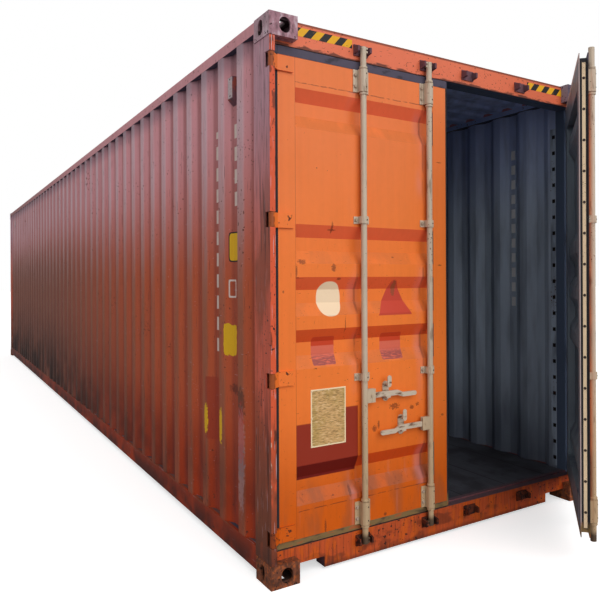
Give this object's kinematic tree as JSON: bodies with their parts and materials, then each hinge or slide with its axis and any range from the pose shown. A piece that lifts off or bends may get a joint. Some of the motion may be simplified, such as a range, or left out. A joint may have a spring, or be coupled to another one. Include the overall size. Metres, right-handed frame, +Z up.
{
  "type": "forty foot high-cube shipping container",
  "caption": "Long corrugated steel cargo box with corner castings and double end doors, one locked and one standing open, with lock rods, handles, hinges and gaskets.",
  "frame": {"origin": "on the ground, at the middle of the four bottom corner apertures", "axes": "+X along the container towards the doors, +Z up, so the left door is at -Y"},
  "size_m": [12.9407, 2.438, 2.896],
  "materials": {
    "casting_paint": "satin",
    "post_paint": "satin",
    "wall_paint": "satin",
    "roof_paint": "matte",
    "door_paint": "satin",
    "hinge_paint": "satin",
    "underframe_paint": "matte",
    "lock_gear_zinc": "matte",
    "keeper_steel": "rough",
    "pin_steel": "satin",
    "gasket_rubber": "matte",
    "floor_plywood": "matte"
  },
  "bodies": {
    "frame": {"bottom_corner_castings": "casting_paint", "top_corner_castings": "casting_paint", "door_corner_posts": "post_paint", "hinge_pins": "pin_steel", "front_corner_posts": "post_paint", "top_side_rails": "wall_paint", "bottom_side_rails": "wall_paint", "cross_members": "underframe_paint", "floor_panels": "floor_plywood", "left_side_wall": "wall_paint", "right_side_wall": "wall_paint", "front_wall": "wall_paint", "roof": "roof_paint", "door_header": "door_paint", "door_sill": "door_paint", "front_header": "wall_paint", "front_sill": "wall_paint", "cam_keepers": "keeper_steel", "ventilators": "wall_paint"},
    "left_door": {"left_door_frame": "door_paint", "left_door_panel": "door_paint", "left_door_gasket": "gasket_rubber", "left_hinge_blades": "hinge_paint", "left_rod_guides": "lock_gear_zinc", "left_handle_retainers": "lock_gear_zinc"},
    "left_outer_rod": {"left_outer_lock_rod": "lock_gear_zinc"},
    "left_outer_handle": {"left_outer_handle": "lock_gear_zinc"},
    "left_outer_catch": {"left_outer_catch": "lock_gear_zinc"},
    "left_inner_rod": {"left_inner_lock_rod": "lock_gear_zinc"},
    "left_inner_handle": {"left_inner_handle": "lock_gear_zinc"},
    "left_inner_catch": {"left_inner_catch": "lock_gear_zinc"},
    "right_door": {"right_door_frame": "door_paint", "right_door_panel": "door_paint", "right_door_gasket": "gasket_rubber", "right_hinge_blades": "hinge_paint", "right_rod_guides": "lock_gear_zinc", "right_handle_retainers": "lock_gear_zinc"},
    "right_outer_rod": {"right_outer_lock_rod": "lock_gear_zinc"},
    "right_outer_handle": {"right_outer_handle": "lock_gear_zinc"},
    "right_outer_catch": {"right_outer_catch": "lock_gear_zinc"},
    "right_inner_rod": {"right_inner_lock_rod": "lock_gear_zinc"},
    "right_inner_handle": {"right_inner_handle": "lock_gear_zinc"},
    "right_inner_catch": {"right_inner_catch": "lock_gear_zinc"}
  },
  "joints": [
    {"name": "left_door_swing", "type": "hinge", "parent": "frame", "child": "left_door", "pos_m": [6.074, -1.197, 1.448], "axis": [0, 0, -1], "range_deg": [0, 260]},
    {"name": "left_outer_rod_turn", "type": "hinge", "parent": "left_door", "child": "left_outer_rod", "pos_m": [6.066, -0.634, 0.905], "axis": [0, 0, 1], "range_deg": [-100, 0]},
    {"name": "left_outer_handle_lift", "type": "hinge", "parent": "left_outer_rod", "child": "left_outer_handle", "pos_m": [6.066, -0.592, 0.905], "axis": [1, 0, 0], "range_deg": [0, 8]},
    {"name": "left_outer_catch_swing", "type": "hinge", "parent": "left_door", "child": "left_outer_catch", "pos_m": [6.0785, -0.474, 0.955], "axis": [1, 0, 0], "range_deg": [0, 180]},
    {"name": "left_inner_rod_turn", "type": "hinge", "parent": "left_door", "child": "left_inner_rod", "pos_m": [6.066, -0.166, 0.702], "axis": [0, 0, -1], "range_deg": [-100, 0]},
    {"name": "left_inner_handle_lift", "type": "hinge", "parent": "left_inner_rod", "child": "left_inner_handle", "pos_m": [6.066, -0.208, 0.702], "axis": [-1, 0, 0], "range_deg": [0, 8]},
    {"name": "left_inner_catch_swing", "type": "hinge", "parent": "left_door", "child": "left_inner_catch", "pos_m": [6.0785, -0.366, 0.752], "axis": [-1, 0, 0], "range_deg": [0, 180]},
    {"name": "right_door_swing", "type": "hinge", "parent": "frame", "child": "right_door", "pos_m": [6.074, 1.197, 1.448], "axis": [0, 0, 1], "range_deg": [-42, 218]},
    {"name": "right_outer_rod_turn", "type": "hinge", "parent": "right_door", "child": "right_outer_rod", "pos_m": [6.44478, 0.77326, 0.905], "axis": [0, 0, -1], "range_deg": [-100, 0]},
    {"name": "right_outer_handle_lift", "type": "hinge", "parent": "right_outer_rod", "child": "right_outer_handle", "pos_m": [6.47288, 0.74204, 0.905], "axis": [-0.7431, -0.6691, 0], "range_deg": [0, 8]},
    {"name": "right_outer_catch_swing", "type": "hinge", "parent": "right_door", "child": "right_outer_catch", "pos_m": [6.56113, 0.66272, 0.955], "axis": [-0.7431, -0.6691, 0], "range_deg": [0, 180]},
    {"name": "right_inner_rod_turn", "type": "hinge", "parent": "right_door", "child": "right_inner_rod", "pos_m": [6.75793, 0.42546, 0.702], "axis": [0, 0, 1], "range_deg": [-100, 0]},
    {"name": "right_inner_handle_lift", "type": "hinge", "parent": "right_inner_rod", "child": "right_inner_handle", "pos_m": [6.72982, 0.45668, 0.702], "axis": [0.7431, 0.6691, 0], "range_deg": [0, 8]},
    {"name": "right_inner_catch_swing", "type": "hinge", "parent": "right_door", "child": "right_inner_catch", "pos_m": [6.63339, 0.58246, 0.752], "axis": [0.7431, 0.6691, 0], "range_deg": [0, 180]}
  ]
}
